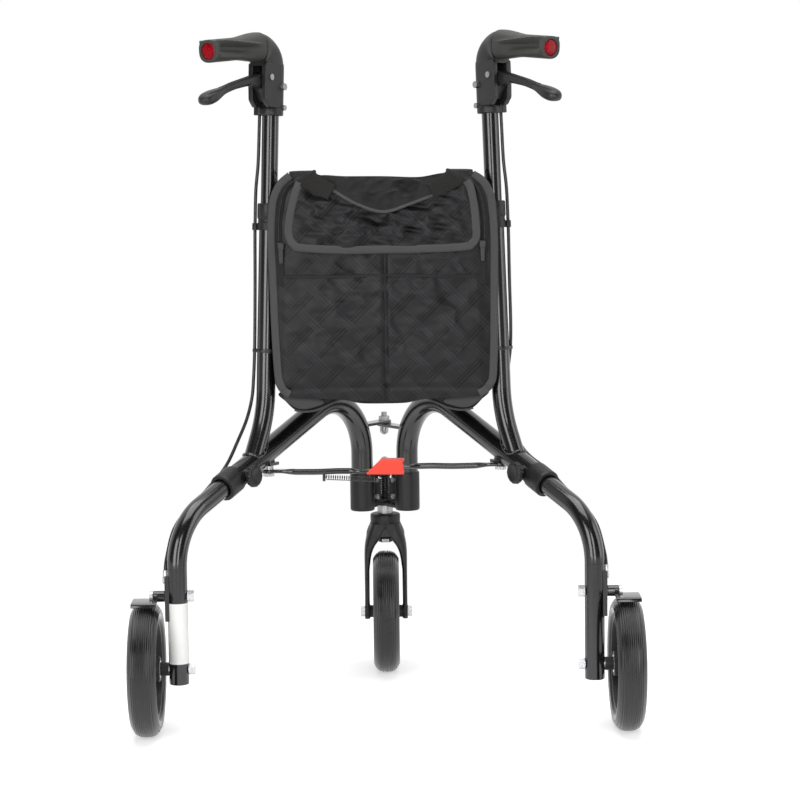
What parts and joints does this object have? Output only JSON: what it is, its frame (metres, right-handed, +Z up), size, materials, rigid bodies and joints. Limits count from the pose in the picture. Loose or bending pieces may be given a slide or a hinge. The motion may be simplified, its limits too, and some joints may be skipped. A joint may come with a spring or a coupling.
{
  "type": "three wheel rollator",
  "caption": "Folding walking frame with a swivelling front caster, two rear wheels, height-adjustable brake handles, a latched crossbar and a fabric bag.",
  "frame": {"origin": "centre of the footprint on the floor", "axes": "+Z up, +Y forward towards the caster, +X to the user's right"},
  "size_m": [0.6552, 0.518, 0.8801],
  "materials": {
    "black_paint": "gloss",
    "black_plastic": "satin",
    "grey_plastic": "satin",
    "grip_rubber": "matte",
    "tyre_rubber": "matte",
    "zinc": "bright",
    "black_steel": "satin",
    "red_reflector": "gloss",
    "latch_red": "satin",
    "cable_black": "satin",
    "bag_fabric": "woven"
  },
  "bodies": {
    "column": {"pivot_shaft": "zinc", "shaft_nuts": "zinc", "column_spring": "black_steel"},
    "frame_left": {"main_tube_left": "black_paint", "link_tab_left": "black_paint", "hinge_block_left": "black_plastic", "pivot_plate_left": "black_paint", "upright_tube_left": "black_paint", "height_bush_left": "black_plastic", "leg_collar_left": "black_plastic", "leg_tube_left": "black_paint", "rear_axle_left": "zinc", "brake_bracket_left": "black_paint", "frame_bolts_left": "zinc", "brake_cable_left": "cable_black", "upper_bolt": "zinc"},
    "knob_left": {"clamp_knob_left": "black_plastic"},
    "handle_left": {"handle_tube_left": "black_paint", "handle_housing_left": "grey_plastic", "grip_left": "grip_rubber", "reflector_left": "red_reflector", "handle_bolts_left": "zinc"},
    "lever_left": {"brake_lever_left": "grey_plastic"},
    "brake_left": {"brake_arm_left": "black_steel"},
    "wheel_left": {"tyre_left": "tyre_rubber", "rim_left": "black_plastic", "bearings_left": "zinc"},
    "frame_right": {"main_tube_right": "black_paint", "link_tab_right": "black_paint", "hinge_block_right": "black_plastic", "pivot_plate_right": "black_paint", "upright_tube_right": "black_paint", "height_bush_right": "black_plastic", "leg_collar_right": "black_plastic", "leg_tube_right": "black_paint", "rear_axle_right": "zinc", "brake_bracket_right": "black_paint", "frame_bolts_right": "zinc", "brake_cable_right": "cable_black"},
    "knob_right": {"clamp_knob_right": "black_plastic"},
    "handle_right": {"handle_tube_right": "black_paint", "handle_housing_right": "grey_plastic", "grip_right": "grip_rubber", "reflector_right": "red_reflector", "handle_bolts_right": "zinc"},
    "lever_right": {"brake_lever_right": "grey_plastic"},
    "brake_right": {"brake_arm_right": "black_steel"},
    "wheel_right": {"tyre_right": "tyre_rubber", "rim_right": "black_plastic", "bearings_right": "zinc"},
    "fork": {"fork": "black_plastic", "front_axle": "zinc"},
    "front_wheel": {"front_tyre": "tyre_rubber", "front_rim": "black_plastic", "front_bearings": "zinc"},
    "link_left": {"link_left": "black_paint", "latch_spring": "zinc"},
    "link_right": {"link_right": "black_paint"},
    "latch": {"latch": "latch_red"},
    "bag": {"bag": "bag_fabric"}
  },
  "joints": [
    {"name": "fold_left", "type": "hinge", "parent": "column", "child": "frame_left", "pos_m": [0, 0.21399, 0.282], "axis": [0, 0, 1], "range_deg": [0, 15], "deforming": ["bag"]},
    {"name": "fold_right", "type": "hinge", "parent": "column", "child": "frame_right", "pos_m": [0, 0.21399, 0.282], "axis": [0, 0, -1], "range_deg": [0, 15]},
    {"name": "link_left_turn", "type": "hinge", "parent": "frame_left", "child": "link_left", "pos_m": [-0.15266, -0.01233, 0.32], "axis": [0, 0, -1], "range_deg": [0, 65]},
    {"name": "link_right_turn", "type": "hinge", "parent": "frame_right", "child": "link_right", "pos_m": [0.15266, -0.01233, 0.32], "axis": [0, 0, 1], "range_deg": [0, 65]},
    {"name": "latch_press", "type": "hinge", "parent": "link_left", "child": "latch", "pos_m": [-0.01594, -0.02429, 0.3119], "axis": [-0.0872, -0.9962, 0], "range_deg": [0, 20], "stiffness_Nm_per_rad": 0.3, "springref_deg": -11.46, "deforming": ["latch_spring"]},
    {"name": "bag_shift", "type": "slide", "parent": "column", "child": "bag", "axis": [0, -1, 0], "range_m": [0, 0.033]},
    {"name": "height_left", "type": "slide", "parent": "frame_left", "child": "handle_left", "axis": [0.0322, 0.0477, 0.9983], "range_m": [-0.05, 0.08], "deforming": ["brake_cable_left"]},
    {"name": "lever_left", "type": "hinge", "parent": "handle_left", "child": "lever_left", "pos_m": [-0.15169, -0.01089, 0.8254], "axis": [-0.829, 0.5592, 0], "range_deg": [0, 13], "stiffness_Nm_per_rad": 1.2, "springref_deg": -14.32},
    {"name": "brake_left", "type": "hinge", "parent": "frame_left", "child": "brake_left", "pos_m": [-0.2617, -0.174, 0.178], "axis": [1, 0, 0], "range_deg": [0, 5]},
    {"name": "knob_left", "type": "hinge", "parent": "frame_left", "child": "knob_left", "pos_m": [-0.18898, -0.06618, 0.31514], "axis": [0.829, -0.5592, 0], "range_deg": [0, 360]},
    {"name": "wheel_left_spin", "type": "hinge", "parent": "frame_left", "child": "wheel_left", "pos_m": [-0.3022, -0.174, 0.085], "axis": [1, 0, 0], "continuous": true},
    {"name": "height_right", "type": "slide", "parent": "frame_right", "child": "handle_right", "axis": [-0.0322, 0.0477, 0.9983], "range_m": [-0.05, 0.08], "deforming": ["brake_cable_right"]},
    {"name": "lever_right", "type": "hinge", "parent": "handle_right", "child": "lever_right", "pos_m": [0.15169, -0.01089, 0.8254], "axis": [-0.829, -0.5592, 0], "range_deg": [0, 13], "stiffness_Nm_per_rad": 1.2, "springref_deg": -14.32},
    {"name": "brake_right", "type": "hinge", "parent": "frame_right", "child": "brake_right", "pos_m": [0.2617, -0.174, 0.178], "axis": [1, 0, 0], "range_deg": [0, 5]},
    {"name": "knob_right", "type": "hinge", "parent": "frame_right", "child": "knob_right", "pos_m": [0.18898, -0.06618, 0.31514], "axis": [0.829, 0.5592, 0], "range_deg": [0, 360]},
    {"name": "wheel_right_spin", "type": "hinge", "parent": "frame_right", "child": "wheel_right", "pos_m": [0.3022, -0.174, 0.085], "axis": [1, 0, 0], "continuous": true},
    {"name": "fork_swivel", "type": "hinge", "parent": "column", "child": "fork", "pos_m": [0, 0.21399, 0.2], "axis": [0, 0, 1], "continuous": true},
    {"name": "front_wheel_spin", "type": "hinge", "parent": "fork", "child": "front_wheel", "pos_m": [0, 0.174, 0.085], "axis": [1, 0, 0], "continuous": true}
  ],
  "couplings": [
    {"joint": "fold_right", "follows": "fold_left", "ratio": 1},
    {"joint": "link_left_turn", "follows": "fold_left", "ratio": 4.303},
    {"joint": "link_right_turn", "follows": "fold_left", "ratio": 4.303},
    {"joint": "bag_shift", "follows": "fold_left", "m_per_rad": 0.118},
    {"joint": "brake_left", "follows": "lever_left", "ratio": 0.3846},
    {"joint": "brake_right", "follows": "lever_right", "ratio": 0.3846}
  ]
}
